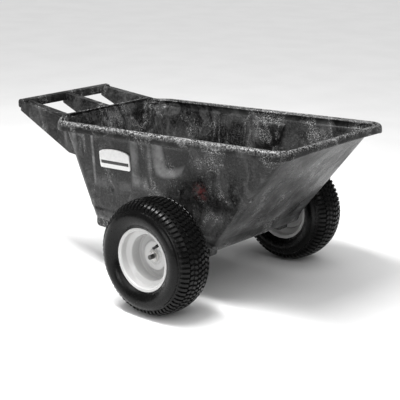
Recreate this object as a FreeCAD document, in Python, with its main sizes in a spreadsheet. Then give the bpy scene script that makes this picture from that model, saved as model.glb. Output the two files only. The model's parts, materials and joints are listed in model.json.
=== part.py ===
"""Two-wheel moulded tub cart.

Row frame: +X towards the sloping nose, +Y to the cart's left, +Z up. The origin is on the ground at
the centre of the cart's bounding box. Lengths are in millimetres.
"""
import FreeCAD, Part
import math
import os
import re

import Sketcher
from FreeCAD import Placement, Rotation, Vector

# Distances along X are measured from the axle, so "rear" values count backwards from it. Those of a
# wheel are measured along its own axis from the wheel's centre plane, outwards.
SIZES = {
    # stance
    "axle_ahead": 201, "wheel_radius": 203.2, "wheel_centre": 390,
    # tub outline at the floor and at the top of the base band, and the walls' slopes above it
    "base_z": 215, "band_z": 257, "base_front": 151, "band_front": 167, "nose_slope": 0.775,
    "base_rear": 462, "band_rear": 478, "rear_slope": 0.405, "base_side": 246, "band_side": 250,
    "side_slope": 0.09, "wall": 5, "loft_top": 640, "base_corner": 30, "top_corner": 50,
    # rim: the plane of its top rises towards the nose
    "rim_rear": 598, "rim_rear_z": 566, "rim_rise": 0.0491, "rim_side": 309, "rim_front": 466,
    "rim_depth": 31, "rim_corner": 62, "rim_roll": 16, "rim_skin": 5, "sill_z": 579,
    "sill_front": 585, "ramp_front": 560,
    # handle: two arms, a centre rib and a cross bar
    "bar_rear": 868, "bar_front": 835, "bar_top": 605, "bar_under": 571, "bar_half": 235,
    "bar_round": 9, "arm_inside": 199, "arm_outside": 235, "arm_inside_front": 208,
    "arm_outside_front": 262, "rib_half": 15, "web_rear": 854, "web_top": 575, "web_knee": 550,
    "web_knee_z": 444, "skin": 5, "open_below": 40,
    # rails under the floor, with the axle's cross hole
    "rail_inside": 185, "rail_width": 40, "rail_depth": 39, "rail_rear": 452, "rail_front": 106,
    "rail_round": 14,
    # axle and what is threaded on it
    "axle_radius": 7.94, "axle_half": 418, "axle_hole": 8.1, "cotter_place": 412,
    "cotter_hole": 1.8, "cotter_radius": 1.6, "cotter_reach": 13, "cotter_eye": 5, "drill": 30,
    "spacer_radius": 11, "spacer_start": 226, "spacer_end": 329.5, "washer_radius": 17,
    "washer_thick": 2, "play": 0.4,
    # wheel hub, rim and tyre
    "hub_radius": 19, "hub_bore": 14.5, "hub_inside": 55, "hub_outside": 5, "bush_bore": 7.99,
    "bush_long": 28, "flange": 3, "flange_radius": 18.5, "rim_lip": 112, "rim_seat": 101.5,
    "rim_well": 83.5, "rim_half_width": 66, "seat_end": 40, "well_end": 28, "sheet_steel": 2.5,
    "disc_depth": 16, "disc_ring": 60, "disc_step": 9, "disc_land": 50, "disc_floor": 1,
    "tyre_half": 86, "bead_half": 62.5, "casing": 9, "bend": 16, "sidewall_foot": 128,
    "sidewall_out": 150, "lug_foot": 178, "lug_half": 71, "tread_edge": 191, "tread_half": 60,
    "crown_edge": 200, "crown_half": 32,
    "valve_forward": 35, "valve_up": 44, "valve_out": 49, "valve_lean": 35, "valve_radius": 5.5,
    "valve_long": 47, "valve_bore": 1.6, "valve_neck": 3.6, "stem_start": 8, "core_start": 2.5,
    "core_end": 26, "cap_end": 14, "cap_radius": 4.6,
    # straps that hold the axle up, and the stand behind it
    "strap_y": 150, "strap_width": 32, "strap_long": 42, "strap_leg": 14, "strap_thick": 3,
    "saddle_half": 8.54, "saddle_under": 11.44, "bolt_reach": 28,
    "bolt_radius": 4, "bolt_hole": 4.4, "bolt_length": 26, "head_radius": 9, "head_height": 3.5,
    "nut_radius": 7.5, "nut_height": 6.5, "nut_washer": 8.5, "nut_washer_thick": 1.6,
    "stand_x": 385, "stand_y": 150, "tube_radius": 12.5, "tube_wall": 2, "tube_low": 34,
    "tube_bend": 45, "plate_half": 42, "plate_half_width": 23, "plate_thick": 3, "plate_round": 8,
    "foot_half": 34, "foot_width": 44, "foot_edge": 10, "foot_cup": 17.5, "foot_inset": 78,
    # badge plate on the right-hand side wall
    "badge_x": 310, "badge_z": 466, "badge_half": 75, "badge_foot": 35, "badge_head": 26,
    "badge_arch": 38, "badge_thick": 2, "badge_round": 7,
}

os.makedirs("parts", exist_ok=True)
doc = FreeCAD.newDocument("garden_cart")
sheet = doc.addObject("Spreadsheet::Sheet", "sizes")
for row, (alias, number) in enumerate(SIZES.items(), start=1):
    sheet.set(f"A{row}", alias)
    sheet.set(f"B{row}", str(number))
    sheet.setAlias(f"B{row}", alias)
doc.recompute()

SIDES = {"left": 1, "right": -1}


# ---------------------------------------------------------------- helpers
def bind(text):
    """The expression with every alias of the sheet written as sizes.alias."""
    return re.sub(r"[a-z]\w*", lambda m: "sizes." + m.group() if m.group() in SIZES else m.group(), text)


def new_body(name):
    """An empty body of its own name."""
    body = doc.addObject("PartDesign::Body", name)
    body.Label = name
    return body


def place(item, x="0", y="0", z="0"):
    """Bind an object's place to the sheet."""
    for axis, text in zip("xyz", (x, y, z)):
        item.setExpression(f"Placement.Base.{axis}", bind(text))
    return item


def new_sketch(body, role, lift="0"):
    """A sketch on one of the body's origin planes, lifted along its normal."""
    sketch = body.newObject("Sketcher::SketchObject", body.Name + "_sketch")
    plane = next(item for item in body.Origin.OriginFeatures if item.Role == role)
    sketch.AttachmentSupport = (plane, [""])
    sketch.MapMode = "FlatFace"
    sketch.setExpression("AttachmentOffset.Base.z", bind(lift))
    return sketch


def hold(sketch, kind, geometry, point, start, text):
    """Hold one coordinate of a point at an expression."""
    index = sketch.addConstraint(Sketcher.Constraint(kind, -1, 1, geometry, point, start))
    sketch.setExpression(f"Constraints[{index}]", bind(text))


def polygon(sketch, corners):
    """A closed outline of straight lines through corners given as pairs of expressions."""
    count = len(corners)
    ring = [Vector(100 * math.cos(2 * math.pi * i / count), 100 * math.sin(2 * math.pi * i / count), 0)
            for i in range(count)]
    for i in range(count):
        sketch.addGeometry(Part.LineSegment(ring[i], ring[(i + 1) % count]))
    for i in range(count):
        sketch.addConstraint(Sketcher.Constraint("Coincident", i, 2, (i + 1) % count, 1))
    for i, (across, up) in enumerate(corners):
        hold(sketch, "DistanceX", i, 1, ring[i].x, across)
        hold(sketch, "DistanceY", i, 1, ring[i].y, up)
    return sketch


def circle(sketch, radius, across="0", up="0"):
    """A circle with its centre and radius bound to expressions."""
    index = sketch.addGeometry(Part.Circle(Vector(1, 1, 0), Vector(0, 0, 1), 10))
    hold(sketch, "DistanceX", index, 3, 1, across)
    hold(sketch, "DistanceY", index, 3, 1, up)
    held = sketch.addConstraint(Sketcher.Constraint("Radius", index, 10))
    sketch.setExpression(f"Constraints[{held}]", bind(radius))
    return sketch


def rounded_outline(sketch, rear, front, side, radius):
    """A rectangle with round corners, from x = rear to x = front and y = -side to y = side."""
    half, corner = 100, 20
    flat = half - corner
    turns = [(flat, flat, 0), (-flat, flat, 90), (-flat, -flat, 180), (flat, -flat, 270)]
    arcs = []
    for x, y, start in turns:
        base = Part.Circle(Vector(x, y, 0), Vector(0, 0, 1), corner)
        arc = Part.ArcOfCircle(base, math.radians(start), math.radians(start + 90))
        arcs.append(sketch.addGeometry(arc))
    ends = [(flat, half, -flat, half), (-half, flat, -half, -flat), (-flat, -half, flat, -half),
            (half, -flat, half, flat)]
    lines = [sketch.addGeometry(Part.LineSegment(Vector(a, b, 0), Vector(c, d, 0))) for a, b, c, d in ends]
    for i in range(4):
        sketch.addConstraint(Sketcher.Constraint("Tangent", arcs[i], 2, lines[i], 1))
        sketch.addConstraint(Sketcher.Constraint("Tangent", lines[i], 2, arcs[(i + 1) % 4], 1))
        sketch.addConstraint(Sketcher.Constraint("Vertical" if i % 2 else "Horizontal", lines[i]))
    for i in range(1, 4):
        sketch.addConstraint(Sketcher.Constraint("Equal", arcs[0], arcs[i]))
    hold(sketch, "DistanceY", lines[0], 1, half, side)
    hold(sketch, "DistanceX", lines[1], 1, -half, rear)
    hold(sketch, "DistanceY", lines[2], 1, -half, f"-({side})")
    hold(sketch, "DistanceX", lines[3], 1, half, front)
    held = sketch.addConstraint(Sketcher.Constraint("Radius", arcs[0], corner))
    sketch.setExpression(f"Constraints[{held}]", bind(radius))
    return sketch


def pad(body, sketch, length, midplane=False):
    """Material from a sketch, along its normal or to both sides of it."""
    feature = body.newObject("PartDesign::Pad", body.Name + "_pad")
    feature.Profile = sketch
    feature.Midplane = midplane
    feature.setExpression("Length", bind(length))
    return feature


def pocket(body, sketch, length, midplane=False, reverse=False):
    """A cut from a sketch that must remove material."""
    doc.recompute()
    before = body.Shape.Volume
    feature = body.newObject("PartDesign::Pocket", body.Name + "_pocket")
    feature.Profile = sketch
    feature.Midplane = midplane
    feature.Reversed = reverse
    feature.setExpression("Length", bind(length))
    doc.recompute()
    if body.Shape.Volume > before - 1:
        raise RuntimeError(f"{feature.Label} removes nothing")
    return feature


def edges_where(shape, test):
    """The names of the edges whose two ends pass the test."""
    return [f"Edge{i}" for i, edge in enumerate(shape.Edges, start=1)
            if test(edge.Vertexes[0].Point, edge.Vertexes[-1].Point)]


def fillet(body, base, test, radius):
    """Round the edges of a feature that pass the test."""
    doc.recompute()
    feature = body.newObject("PartDesign::Fillet", body.Name + "_fillet")
    feature.Base = (base, edges_where(base.Shape, test))
    feature.setExpression("Radius", bind(radius))
    doc.recompute()
    return feature


def turned(name, outline, side=1, centre="0"):
    """A ring turned about the axle from an outline of (radius, distance outwards) pairs."""
    body = new_body(name)
    sign = "" if side > 0 else "-"
    corners = [(radius, f"{sign}({centre} + {out})") for radius, out in outline]
    sketch = polygon(new_sketch(body, "XY_Plane"), corners)
    feature = body.newObject("PartDesign::Revolution", name + "_turn")
    feature.Profile = sketch
    feature.ReferenceAxis = (sketch, ["V_Axis"])
    place(body, "axle_ahead", "0", "wheel_radius")
    return body, feature


def ring(name, inner, outer, start, end, side=1, centre="0"):
    """A plain turned ring between two distances outwards along the axle."""
    return turned(name, [(inner, start), (outer, start), (outer, end), (inner, end)], side, centre)


def cylinder(name, radius, length):
    """A cylinder with its size bound to the sheet."""
    item = doc.addObject("Part::Cylinder", name)
    item.setExpression("Radius", bind(radius))
    item.setExpression("Height", bind(length))
    return item


def cut(name, base, tool):
    """One solid less another."""
    item = doc.addObject("Part::Cut", name)
    item.Base = base
    item.Tool = tool
    item.Label = name
    return item


def join(kind, name, items):
    """Several solids fused into one, or kept apart in one compound."""
    item = doc.addObject(kind, name)
    if kind == "Part::Compound":
        item.Links = items
    else:
        item.Shapes = items
    item.Label = name
    return item


# ---------------------------------------------------------------- tub
RIM_LINE = "rim_rear_z + rim_rise * ({} + rim_rear)"


def tub_shell(name, inset, floor):
    """The solid inside the tub's outer walls, or with an inset the solid of its hollow."""
    body = new_body(name)
    rise = "(loft_top - band_z)"
    levels = [
        (floor, "base_rear", "base_front", "base_side", "base_corner"),
        ("band_z", "band_rear", "band_front", "band_side", "base_corner"),
        ("loft_top", f"band_rear + rear_slope * {rise}", f"band_front + nose_slope * {rise}",
         f"band_side + side_slope * {rise}", "top_corner"),
    ]
    sketches = []
    for lift, rear, front, side, corner in levels:
        sketch = new_sketch(body, "XY_Plane", lift)
        rounded_outline(sketch, f"-({rear} - {inset})", f"{front} - {inset}", f"{side} - {inset}",
                        f"{corner} - {inset}")
        sketches.append(sketch)
    loft = body.newObject("PartDesign::AdditiveLoft", name + "_loft")
    loft.Profile = sketches[0]
    loft.Sections = sketches[1:]
    loft.Ruled = True
    return body


def trim_top(body):
    """Cut the shell off along the rim's plane, with a higher sill at the rear wall."""
    sketch = polygon(new_sketch(body, "XZ_Plane"), [
        ("-bar_rear", "sill_z"), ("-sill_front", "sill_z"),
        ("-ramp_front", RIM_LINE.format("-ramp_front")), ("rim_front", RIM_LINE.format("rim_front")),
        ("rim_front", "loft_top + 10"), ("-bar_rear", "loft_top + 10")])
    pocket(body, sketch, "2 * rim_side + 100", midplane=True)


def rim_channel():
    """The rolled rim: a shallow tray turned upside down, later opened by the tub's hollow."""
    body = new_body("rim_channel")
    rear, front = "-rim_rear", "rim_front"
    sketch = polygon(new_sketch(body, "XZ_Plane"), [
        (rear, RIM_LINE.format(rear) + " - rim_depth"), (front, RIM_LINE.format(front) + " - rim_depth"),
        (front, RIM_LINE.format(front)), (rear, RIM_LINE.format(rear))])
    slab = pad(body, sketch, "2 * rim_side", midplane=True)
    rounded = fillet(body, slab, lambda a, b: abs(a.x - b.x) < 1 and abs(a.y - b.y) < 1, "rim_corner")
    depth = SIZES["rim_depth"]

    def on_top(point):
        line = SIZES["rim_rear_z"] + SIZES["rim_rise"] * (point.x + SIZES["rim_rear"])
        return point.z > line - depth / 2
    rolled = fillet(body, rounded, lambda a, b: on_top(a) and on_top(b), "rim_roll")
    low = min(range(len(rolled.Shape.Faces)), key=lambda i: rolled.Shape.Faces[i].CenterOfMass.z)
    hollow = body.newObject("PartDesign::Thickness", "rim_hollow")
    hollow.Base = (rolled, [f"Face{low + 1}"])
    hollow.setExpression("Value", bind("rim_skin"))
    hollow.Reversed = True
    doc.recompute()
    return body


def web(name, rear, front):
    """A hollow tapering web behind the tub, open below, from its (inner, outer) y at each end."""
    body = new_body(name)

    def section(lift, inner, outer, low, top):
        return polygon(new_sketch(body, "YZ_Plane", lift), [(inner, low), (outer, low), (outer, top),
                                                            (inner, top)])
    solid = (section("-web_rear", *rear, "bar_under - 3", "bar_top - 1"),
             section("-web_knee", *front, "web_knee_z", "web_top"))
    inset = [tuple(f"{y} {way} skin" for y, way in zip(pair, "+-")) for pair in (rear, front)]
    hollow = (section("-bar_front", *inset[0], "bar_under - open_below", "bar_top - 2 * skin"),
              section("-web_knee - skin", *inset[1], "web_knee_z - open_below", "web_top - skin"))
    for kind, (first, last) in (("Additive", solid), ("Subtractive", hollow)):
        loft = body.newObject(f"PartDesign::{kind}Loft", f"{name}_{kind}")
        loft.Profile = first
        loft.Sections = [last]
        loft.Ruled = True
        doc.recompute()
    return body


def handle_webs():
    """The two arms, which spread towards the tub, and the straight centre rib."""
    return [web("left_arm", ("arm_inside", "arm_outside"), ("arm_inside_front", "arm_outside_front")),
            web("right_arm", ("-arm_outside", "-arm_inside"), ("-arm_outside_front", "-arm_inside_front")),
            web("centre_rib", ("-rib_half", "rib_half"), ("-rib_half", "rib_half"))]


def cross_bar():
    """The bar that the hands hold, rounded towards the rear and at its ends."""
    body = new_body("cross_bar")
    outline = polygon(new_sketch(body, "XZ_Plane"), [
        ("-bar_rear", "bar_under"), ("-bar_front", "bar_under - 2"), ("-bar_front", "bar_top - 2"),
        ("-bar_rear", "bar_top")])
    bar = pad(body, outline, "2 * bar_half", midplane=True)
    rear = -SIZES["bar_rear"]
    fillet(body, bar, lambda a, b: abs(a.x - rear) < 1 and abs(b.x - rear) < 1, "bar_round")
    return body


def rail(side):
    """One rail under the floor, rounded at its lower ends."""
    body = new_body(f"rail_{side}")
    left_face = "-(rail_inside + rail_width)" if side == "left" else "rail_inside"
    sketch = polygon(new_sketch(body, "XZ_Plane", left_face), [
        ("-rail_rear", "base_z - rail_depth"), ("rail_front", "base_z - rail_depth"),
        ("rail_front", "base_z + 2"), ("-rail_rear", "base_z + 2")])
    block = pad(body, sketch, "rail_width")
    low = SIZES["base_z"] - SIZES["rail_depth"]
    fillet(body, block, lambda a, b: abs(a.z - low) < 1 and abs(b.z - low) < 1 and abs(a.x - b.x) < 1,
           "rail_round")
    return body


BOLT_PLACES = {
    "strap": [(f"{way}bolt_reach", f"{side}strap_y") for side in ("", "-") for way in ("", "-")],
    "stand": [(f"-stand_x {way} bolt_reach", f"{side}stand_y") for side in ("", "-") for way in "+-"],
}


def bolt_holes():
    """Clearance holes for every bolt through the floor."""
    holes = []
    for group, spots in BOLT_PLACES.items():
        for number, (x, y) in enumerate(spots):
            hole = cylinder(f"{group}_hole_{number}", "bolt_hole", "2 * drill")
            holes.append(place(hole, x, y, "base_z - drill"))
    return holes


def axle_bore():
    """The cross hole through both rails."""
    bore = cylinder("axle_bore", "axle_hole", "2 * wheel_centre")
    bore.Placement = Placement(Vector(), Rotation(Vector(1, 0, 0), -90))
    return place(bore, "0", "-wheel_centre", "wheel_radius")


def make_tub():
    """One moulded piece: walls, floor, rim, handle and rails, less the hollow and the holes."""
    outside = tub_shell("outer_walls", "0", "base_z")
    trim_top(outside)
    inside = tub_shell("hollow", "wall", "base_z + wall")
    solids = [outside, rim_channel(), cross_bar(), rail("left"), rail("right")] + handle_webs()
    whole = join("Part::MultiFuse", "tub_outside", solids)
    tools = join("Part::MultiFuse", "tub_cuts", [inside, axle_bore()] + bolt_holes())
    tub = cut("tub", whole, tools)
    return place(tub, "axle_ahead")


# ---------------------------------------------------------------- axle, straps and stand
def make_axle():
    """A straight rod with a cross hole near each end."""
    rod = cylinder("axle_rod", "axle_radius", "2 * axle_half")
    rod.Placement = Placement(Vector(), Rotation(Vector(1, 0, 0), -90))
    place(rod, "0", "-axle_half", "wheel_radius")
    holes = []
    for side, sign in SIDES.items():
        hole = cylinder(f"cotter_hole_{side}", "cotter_hole", "2 * drill")
        holes.append(place(hole, "0", f"{sign} * cotter_place", "wheel_radius - drill"))
    axle = cut("axle", rod, join("Part::MultiFuse", "cotter_holes", holes))
    return place(axle, "axle_ahead")


def make_cotter(side, sign):
    """A cotter pin through the axle: its legs as one pin and its eye above."""
    legs = cylinder(f"cotter_legs_{side}", "cotter_radius", "2 * cotter_reach")
    place(legs, "0", f"{sign} * cotter_place", "wheel_radius - cotter_reach")
    eye = doc.addObject("Part::Torus", f"cotter_eye_{side}")
    eye.setExpression("Radius1", bind("cotter_eye - cotter_radius"))
    eye.setExpression("Radius2", bind("cotter_radius"))
    eye.Placement = Placement(Vector(), Rotation(Vector(1, 0, 0), 90))
    place(eye, "0", f"{sign} * cotter_place", "wheel_radius + cotter_reach + 2 * cotter_radius")
    return place(join("Part::MultiFuse", f"cotter_pin_{side}", [legs, eye]), "axle_ahead")


def make_strap(side, sign):
    """A pressed saddle under the axle, bolted to the floor in front of it and behind it."""
    body = new_body(f"axle_strap_{side}")
    low = "wheel_radius - axle_radius"
    right = [("strap_long", "base_z"), ("strap_long", "base_z - strap_thick"),
             ("strap_leg", "base_z - strap_thick"), ("saddle_under", f"{low} - strap_thick")]
    inner = [("saddle_half", low), ("saddle_under", "base_z")]
    left = [(f"-({x})", z) for x, z in reversed(right)]
    inside = [(f"-({x})", z) for x, z in reversed(inner)] + inner
    corners = right + left + inside
    sketch = polygon(new_sketch(body, "XZ_Plane", f"-({sign} * strap_y)"), corners)
    pad(body, sketch, "strap_width", midplane=True)
    holes = new_sketch(body, "XY_Plane", "base_z - 2 * strap_thick")
    for way in ("", "-"):
        circle(holes, "bolt_hole", f"{way}bolt_reach", f"{sign} * strap_y")
    pocket(body, holes, "drill", reverse=True)
    return place(body, "axle_ahead")


def make_stand():
    """A tube bent into a U, open upwards, behind the axle."""
    body = new_body("rest_stand")
    top, half = "base_z - plate_thick", "stand_y"
    path = new_sketch(body, "YZ_Plane", "-stand_x")
    points = [(-150, 200), (-150, 80), (-105, 35), (105, 35), (150, 80), (150, 200)]
    vectors = [Vector(y, z, 0) for y, z in points]
    left_leg = path.addGeometry(Part.LineSegment(vectors[0], vectors[1]))
    left_bend = path.addGeometry(Part.ArcOfCircle(
        Part.Circle(Vector(-105, 80, 0), Vector(0, 0, 1), 45), math.pi, 1.5 * math.pi))
    floor_run = path.addGeometry(Part.LineSegment(vectors[2], vectors[3]))
    right_bend = path.addGeometry(Part.ArcOfCircle(
        Part.Circle(Vector(105, 80, 0), Vector(0, 0, 1), 45), 1.5 * math.pi, 2 * math.pi))
    right_leg = path.addGeometry(Part.LineSegment(vectors[4], vectors[5]))
    for first, end, second, start in ((left_leg, 2, left_bend, 1), (left_bend, 2, floor_run, 1),
                                      (floor_run, 2, right_bend, 1), (right_bend, 2, right_leg, 1)):
        path.addConstraint(Sketcher.Constraint("Tangent", first, end, second, start))
    path.addConstraint(Sketcher.Constraint("Vertical", left_leg))
    path.addConstraint(Sketcher.Constraint("Horizontal", floor_run))
    path.addConstraint(Sketcher.Constraint("Equal", left_bend, right_bend))
    hold(path, "DistanceX", left_leg, 1, -150, f"-{half}")
    hold(path, "DistanceY", left_leg, 1, 200, top)
    hold(path, "DistanceX", right_leg, 2, 150, half)
    hold(path, "DistanceY", right_leg, 2, 200, top)
    hold(path, "DistanceY", floor_run, 1, 35, "tube_low")
    held = path.addConstraint(Sketcher.Constraint("Radius", left_bend, 45))
    path.setExpression(f"Constraints[{held}]", bind("tube_bend"))
    for kind, radius in (("PartDesign::AdditivePipe", "tube_radius"),
                         ("PartDesign::SubtractivePipe", "tube_radius - tube_wall")):
        section = circle(new_sketch(body, "XY_Plane", top), radius, "-stand_x", f"-{half}")
        feature = body.newObject(kind, "stand_pipe")
        feature.Profile = section
        feature.Spine = path
        doc.recompute()
    return place(body, "axle_ahead")


def make_stand_plate(side, sign):
    """The flat plate on top of a leg, between the leg and the floor."""
    body = new_body(f"stand_plate_{side}")
    sketch = new_sketch(body, "XY_Plane", "base_z - plate_thick")
    rounded_outline(sketch, "-stand_x - plate_half", "-stand_x + plate_half", "plate_half_width",
                    "plate_round")
    pad(body, sketch, "plate_thick")
    holes = new_sketch(body, "XY_Plane", "base_z - 2 * plate_thick")
    for way in "+-":
        circle(holes, "bolt_hole", f"-stand_x {way} bolt_reach")
    pocket(body, holes, "drill", reverse=True)
    return place(body, "axle_ahead", f"{sign} * stand_y")


def make_foot(side, sign):
    """A moulded shoe with a flat underside, cupped round the stand's lower run."""
    body = new_body(f"stand_foot_{side}")
    sketch = polygon(new_sketch(body, "XZ_Plane"), [
        ("-foot_half", "0"), ("foot_half", "0"), ("foot_half", "foot_edge"), ("foot_cup", "tube_low"),
        ("-foot_cup", "tube_low"), ("-foot_half", "foot_edge")])
    pad(body, sketch, "foot_width", midplane=True)
    groove = circle(new_sketch(body, "XZ_Plane"), "tube_radius", "0", "tube_low")
    pocket(body, groove, "foot_width + 2 * foot_edge", midplane=True)
    return place(body, "axle_ahead - stand_x", f"{sign} * foot_inset")


def make_fasteners(group, top, under):
    """The group's domed bolts, washers and nuts, each kind as one node of separate solids."""
    bolts, washers, nuts = [], [], []
    for number, (x, y) in enumerate(BOLT_PLACES[group]):
        tag = f"{group}_{number}"
        x = f"axle_ahead + ({x})"
        head = doc.addObject("Part::Cone", f"head_{tag}")
        head.setExpression("Radius1", bind("head_radius"))
        head.setExpression("Radius2", bind("head_radius / 2"))
        head.setExpression("Height", bind("head_height"))
        place(head, x, y, top)
        shank = place(cylinder(f"shank_{tag}", "bolt_radius", "bolt_length"), x, y, f"{top} - bolt_length")
        bolts.append(join("Part::MultiFuse", f"bolt_{tag}", [head, shank]))
        disc = place(cylinder(f"disc_{tag}", "nut_washer", "nut_washer_thick"), x, y,
                     f"{under} - nut_washer_thick")
        hexagon = doc.addObject("Part::Prism", f"hexagon_{tag}")
        hexagon.Polygon = 6
        hexagon.setExpression("Circumradius", bind("nut_radius"))
        hexagon.setExpression("Height", bind("nut_height"))
        place(hexagon, x, y, f"{under} - nut_washer_thick - nut_height")
        for solid, kind, group_list in ((disc, "washer", washers), (hexagon, "nut", nuts)):
            bore = place(cylinder(f"{kind}_bore_{tag}", "bolt_radius", "2 * drill"), x, y,
                         f"{under} - drill")
            group_list.append(cut(f"{kind}_{tag}", solid, bore))
    return [join("Part::Compound", f"{group}_{kind}", solids)
            for kind, solids in (("bolts", bolts), ("washers", washers), ("nuts", nuts))]


# ---------------------------------------------------------------- wheels
def make_barrel(side, sign):
    """The rolled steel barrel: two lips, two seats and a drop centre, with a hole for the valve."""
    outer = [("rim_lip", "rim_half_width"), ("rim_lip", "rim_half_width - sheet_steel"),
             ("rim_seat", "rim_half_width - sheet_steel"), ("rim_seat", "seat_end"),
             ("rim_well", "well_end")]
    inner = [("rim_seat - sheet_steel", "rim_half_width"), ("rim_seat - sheet_steel", "seat_end + 1"),
             ("rim_well - sheet_steel", "well_end + 1")]
    half = list(reversed(outer)) + inner
    outline = half + [(radius, f"-({out})") for radius, out in reversed(half)]
    blank = turned(f"barrel_blank_{side}", outline, sign, "wheel_centre")[0]
    hole = cylinder(f"valve_hole_{side}", "valve_radius", "valve_long + drill")
    lay_along_valve(hole, sign)
    return cut(f"rim_barrel_{side}", blank, hole)


def make_disc(side, sign):
    """The pressed disc, welded into the barrel's well and round the hub."""
    front = [("rim_well - sheet_steel", "-disc_depth"), ("disc_ring", "-disc_step"),
             ("disc_land", "disc_floor"), ("hub_radius", "disc_floor")]
    back = [(radius, f"{out} - sheet_steel") for radius, out in reversed(front)]
    return turned(f"rim_disc_{side}", front + back, sign, "wheel_centre")[0]


def make_tyre(side, sign):
    """A hollow casing with a crowned tread, sloping shoulders and two beads on the rim's seats."""
    half = [("rim_seat", "seat_end + 1"), ("rim_seat", "bead_half"), ("rim_lip + 1", "bead_half"),
            ("sidewall_foot", "tyre_half - 3"), ("sidewall_out", "tyre_half"), ("lug_foot", "lug_half"),
            ("tread_edge", "tread_half"), ("crown_edge", "crown_half"), ("wheel_radius", "0")]
    inner = [("wheel_radius - casing", "0"), ("tread_edge - casing", "tread_half - casing / 2"),
             ("lug_foot - casing", "lug_half - casing"), ("sidewall_out", "tyre_half - casing"),
             ("sidewall_foot + 5", "tyre_half - casing"), ("rim_lip + 1", "seat_end + 1")]
    outside = half + [(radius, f"-({out})") for radius, out in reversed(half[:-1])]
    inside = [(radius, f"-({out})") for radius, out in reversed(inner[1:])] + inner
    body, turn = turned(f"tyre_{side}", outside + inside, sign, "wheel_centre")
    doc.recompute()
    bends = [SIZES[name] for name in ("sidewall_out", "lug_foot", "tread_edge", "crown_edge")]
    bends.append(SIZES["wheel_radius"])

    def at_bend(a, b):
        reach = math.hypot(a.x, a.z)
        outermost = abs(abs(a.y) - SIZES["wheel_centre"]) > SIZES["tyre_half"] - 1
        on_bend = min(abs(reach - bend) for bend in bends) < 0.1
        at_inner_bend = abs(reach - SIZES["sidewall_out"]) < 0.1 and not outermost
        return on_bend and not at_inner_bend and abs(a.y - b.y) < 0.01
    fillet(body, turn, at_bend, "bend")
    return body


def lay_along_valve(item, sign):
    """Put an object's own Z axis on the valve's line, which leans from its free end into the well."""
    forward, up = SIZES["valve_forward"], SIZES["valve_up"]
    lean = math.radians(SIZES["valve_lean"])
    reach = math.hypot(forward, up)
    inward = Vector(forward / reach * math.sin(lean), -sign * math.cos(lean), up / reach * math.sin(lean))
    item.Placement = Placement(Vector(), Rotation(Vector(0, 0, 1), inward))
    return place(item, "axle_ahead + valve_forward", f"{sign} * (wheel_centre + valve_out)",
                 "wheel_radius + valve_up")


def make_valve(side, sign):
    """Stem, core and cap on one line, measured from the valve's free end."""
    stem, core, cap = (new_body(f"valve_{name}_{side}") for name in ("stem", "core", "cap"))
    for body, radius, start, end in ((stem, "valve_radius", "stem_start", "valve_long"),
                                     (core, "valve_bore", "core_start", "core_end"),
                                     (cap, "cap_radius", "0", "cap_end")):
        pad(body, circle(new_sketch(body, "XY_Plane", start), radius), f"{end} - {start}")
    for body, radius, start, end in ((stem, "valve_bore", "stem_start", "core_end"),
                                     (cap, "valve_neck", "stem_start", "cap_end"),
                                     (cap, "valve_bore", "core_start", "stem_start")):
        pocket(body, circle(new_sketch(body, "XY_Plane", start), radius), f"{end} - {start}", reverse=True)
    neck = new_sketch(stem, "XY_Plane", "stem_start")
    circle(neck, "valve_radius + 1")
    circle(neck, "valve_neck")
    pocket(stem, neck, "cap_end - stem_start", reverse=True)
    return [lay_along_valve(body, sign) for body in (stem, core, cap)]


def make_wheel(side, sign):
    """Everything that turns on one end of the axle."""
    hub = ring(f"hub_{side}", "hub_bore", "hub_radius", "-hub_inside", "hub_outside", sign,
               "wheel_centre")[0]
    bushes = []
    for where, face, out, back in (("outer", "hub_outside", "+", "-"), ("inner", "-hub_inside", "-", "+")):
        outline = [("bush_bore", f"{face} {out} flange"), ("flange_radius", f"{face} {out} flange"),
                   ("flange_radius", face), ("hub_bore", face),
                   ("hub_bore", f"{face} {back} bush_long"), ("bush_bore", f"{face} {back} bush_long")]
        bushes.append(turned(f"{where}_bushing_{side}", outline, sign, "wheel_centre")[0])
    rim = [make_barrel(side, sign), make_disc(side, sign)]
    return rim + [hub, make_tyre(side, sign)] + bushes + make_valve(side, sign)


def make_axle_rings(side, sign):
    """The spacer tube and the two thrust washers that stay with the axle."""
    inner_face = "(wheel_centre - hub_inside - flange - play)"
    outer_face = "(wheel_centre + hub_outside + flange + play)"
    rings = [("axle_spacer", "spacer_radius", "spacer_start", "spacer_end"),
             ("inner_washer", "washer_radius", f"{inner_face} - washer_thick", inner_face),
             ("outer_washer", "washer_radius", outer_face, f"{outer_face} + washer_thick")]
    return [ring(f"{name}_{side}", "axle_hole", outer, start, end, sign)[0]
            for name, outer, start, end in rings]


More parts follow.
